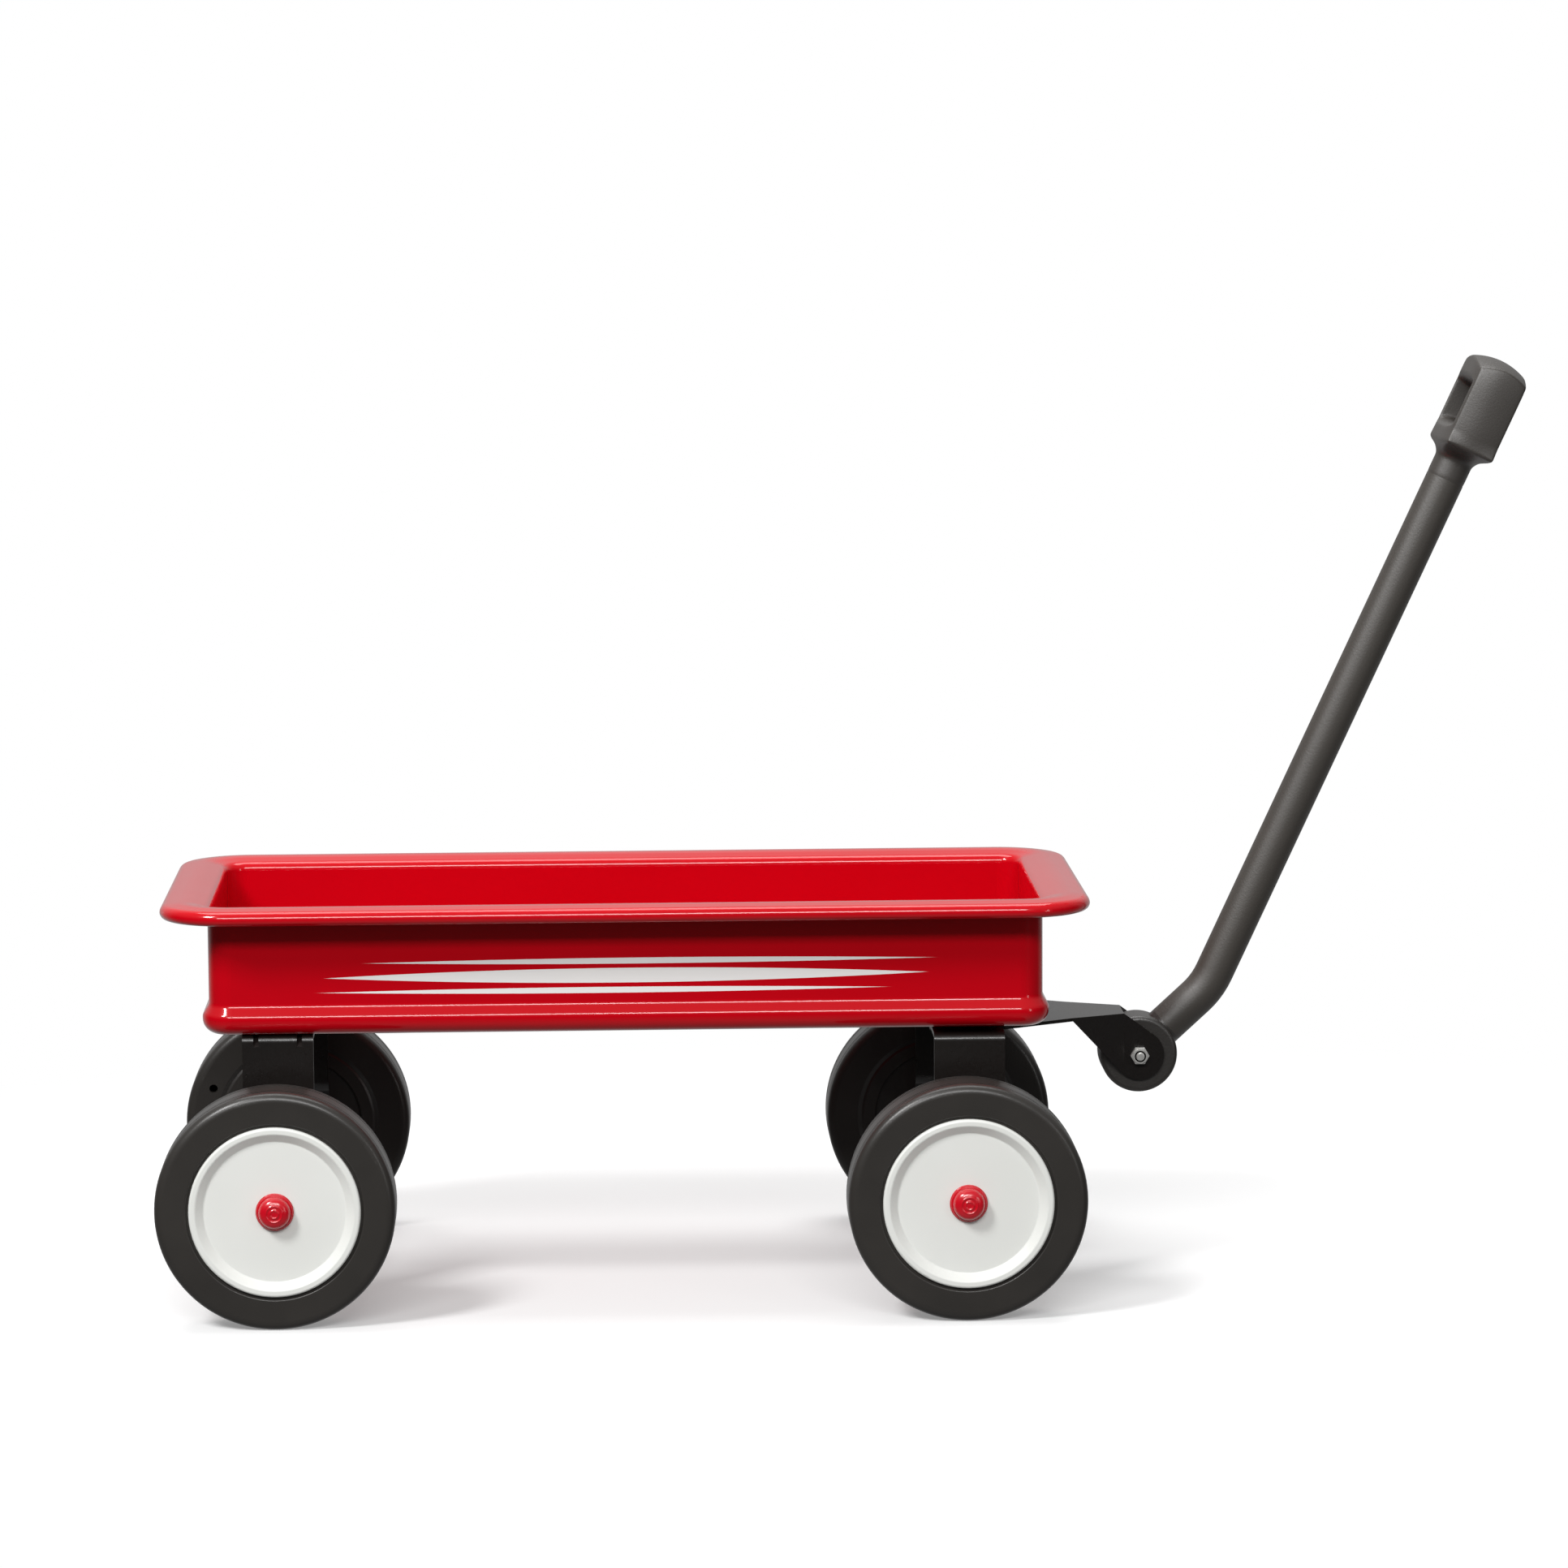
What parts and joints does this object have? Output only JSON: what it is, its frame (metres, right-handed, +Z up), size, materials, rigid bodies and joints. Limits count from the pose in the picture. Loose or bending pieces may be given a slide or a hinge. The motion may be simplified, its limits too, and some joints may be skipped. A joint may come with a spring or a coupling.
{
  "type": "kids pull wagon",
  "caption": "Small steel pull wagon: rolled-rim tray on strip axle brackets, four wheels, steered front truck and hinged pull handle with a finger loop.",
  "frame": {"origin": "on the ground, under the middle of the wagon and handle taken together", "axes": "+X forward to the pull handle, +Y to the wagon's left, +Z up"},
  "size_m": [0.4737, 0.1966, 0.3209],
  "materials": {
    "red_enamel": "gloss enamel",
    "dark_powder_coat": "satin powder coat",
    "handle_plastic": "satin, fine grain",
    "zinc_steel": "bright zinc",
    "red_cap_paint": "gloss",
    "tyre_black": "satin moulded",
    "disc_white": "satin white"
  },
  "bodies": {
    "wagon": {"wagon_body": "red_enamel", "rear_axle_bracket": "dark_powder_coat", "rear_bracket_screws": "zinc_steel", "rear_bracket_nuts": "zinc_steel", "bolster_plate": "dark_powder_coat", "bolster_rivets": "zinc_steel", "bearing_washer": "zinc_steel", "king_bolt": "zinc_steel", "king_washer": "zinc_steel", "king_nut": "zinc_steel", "rear_axle": "zinc_steel", "rear_axle_caps": "red_cap_paint", "rear_axle_washers": "zinc_steel"},
    "front_truck": {"front_axle_bracket": "dark_powder_coat", "hitch_tongue": "dark_powder_coat", "tongue_rivets": "zinc_steel", "hitch_bolt": "zinc_steel", "hitch_nut": "zinc_steel", "front_axle": "zinc_steel", "front_axle_caps": "red_cap_paint", "front_axle_washers": "zinc_steel"},
    "pull_handle": {"handle_hub": "handle_plastic", "handle_tube": "dark_powder_coat", "handle_grip": "handle_plastic"},
    "rear_left_wheel": {"rear_left_tyre": "tyre_black", "rear_left_disc": "disc_white"},
    "rear_right_wheel": {"rear_right_tyre": "tyre_black", "rear_right_disc": "disc_white"},
    "front_left_wheel": {"front_left_tyre": "tyre_black", "front_left_disc": "disc_white"},
    "front_right_wheel": {"front_right_tyre": "tyre_black", "front_right_disc": "disc_white"}
  },
  "joints": [
    {"name": "steer", "type": "hinge", "parent": "wagon", "child": "front_truck", "pos_m": [0.03902, 0, 0.0924], "axis": [0, 0, 1], "range_deg": [-38, 38]},
    {"name": "handle_pivot", "type": "hinge", "parent": "front_truck", "child": "pull_handle", "pos_m": [0.10182, 0, 0.076], "axis": [0, 1, 0], "range_deg": [-38, 79]},
    {"name": "rear_left_wheel_spin", "type": "hinge", "parent": "wagon", "child": "rear_left_wheel", "pos_m": [-0.19698, 0.084, 0.0405], "axis": [0, 1, 0], "continuous": true},
    {"name": "rear_right_wheel_spin", "type": "hinge", "parent": "wagon", "child": "rear_right_wheel", "pos_m": [-0.19698, -0.084, 0.0405], "axis": [0, 1, 0], "continuous": true},
    {"name": "front_left_wheel_spin", "type": "hinge", "parent": "front_truck", "child": "front_left_wheel", "pos_m": [0.03622, 0.084, 0.0405], "axis": [0, 1, 0], "continuous": true},
    {"name": "front_right_wheel_spin", "type": "hinge", "parent": "front_truck", "child": "front_right_wheel", "pos_m": [0.03622, -0.084, 0.0405], "axis": [0, 1, 0], "continuous": true}
  ]
}
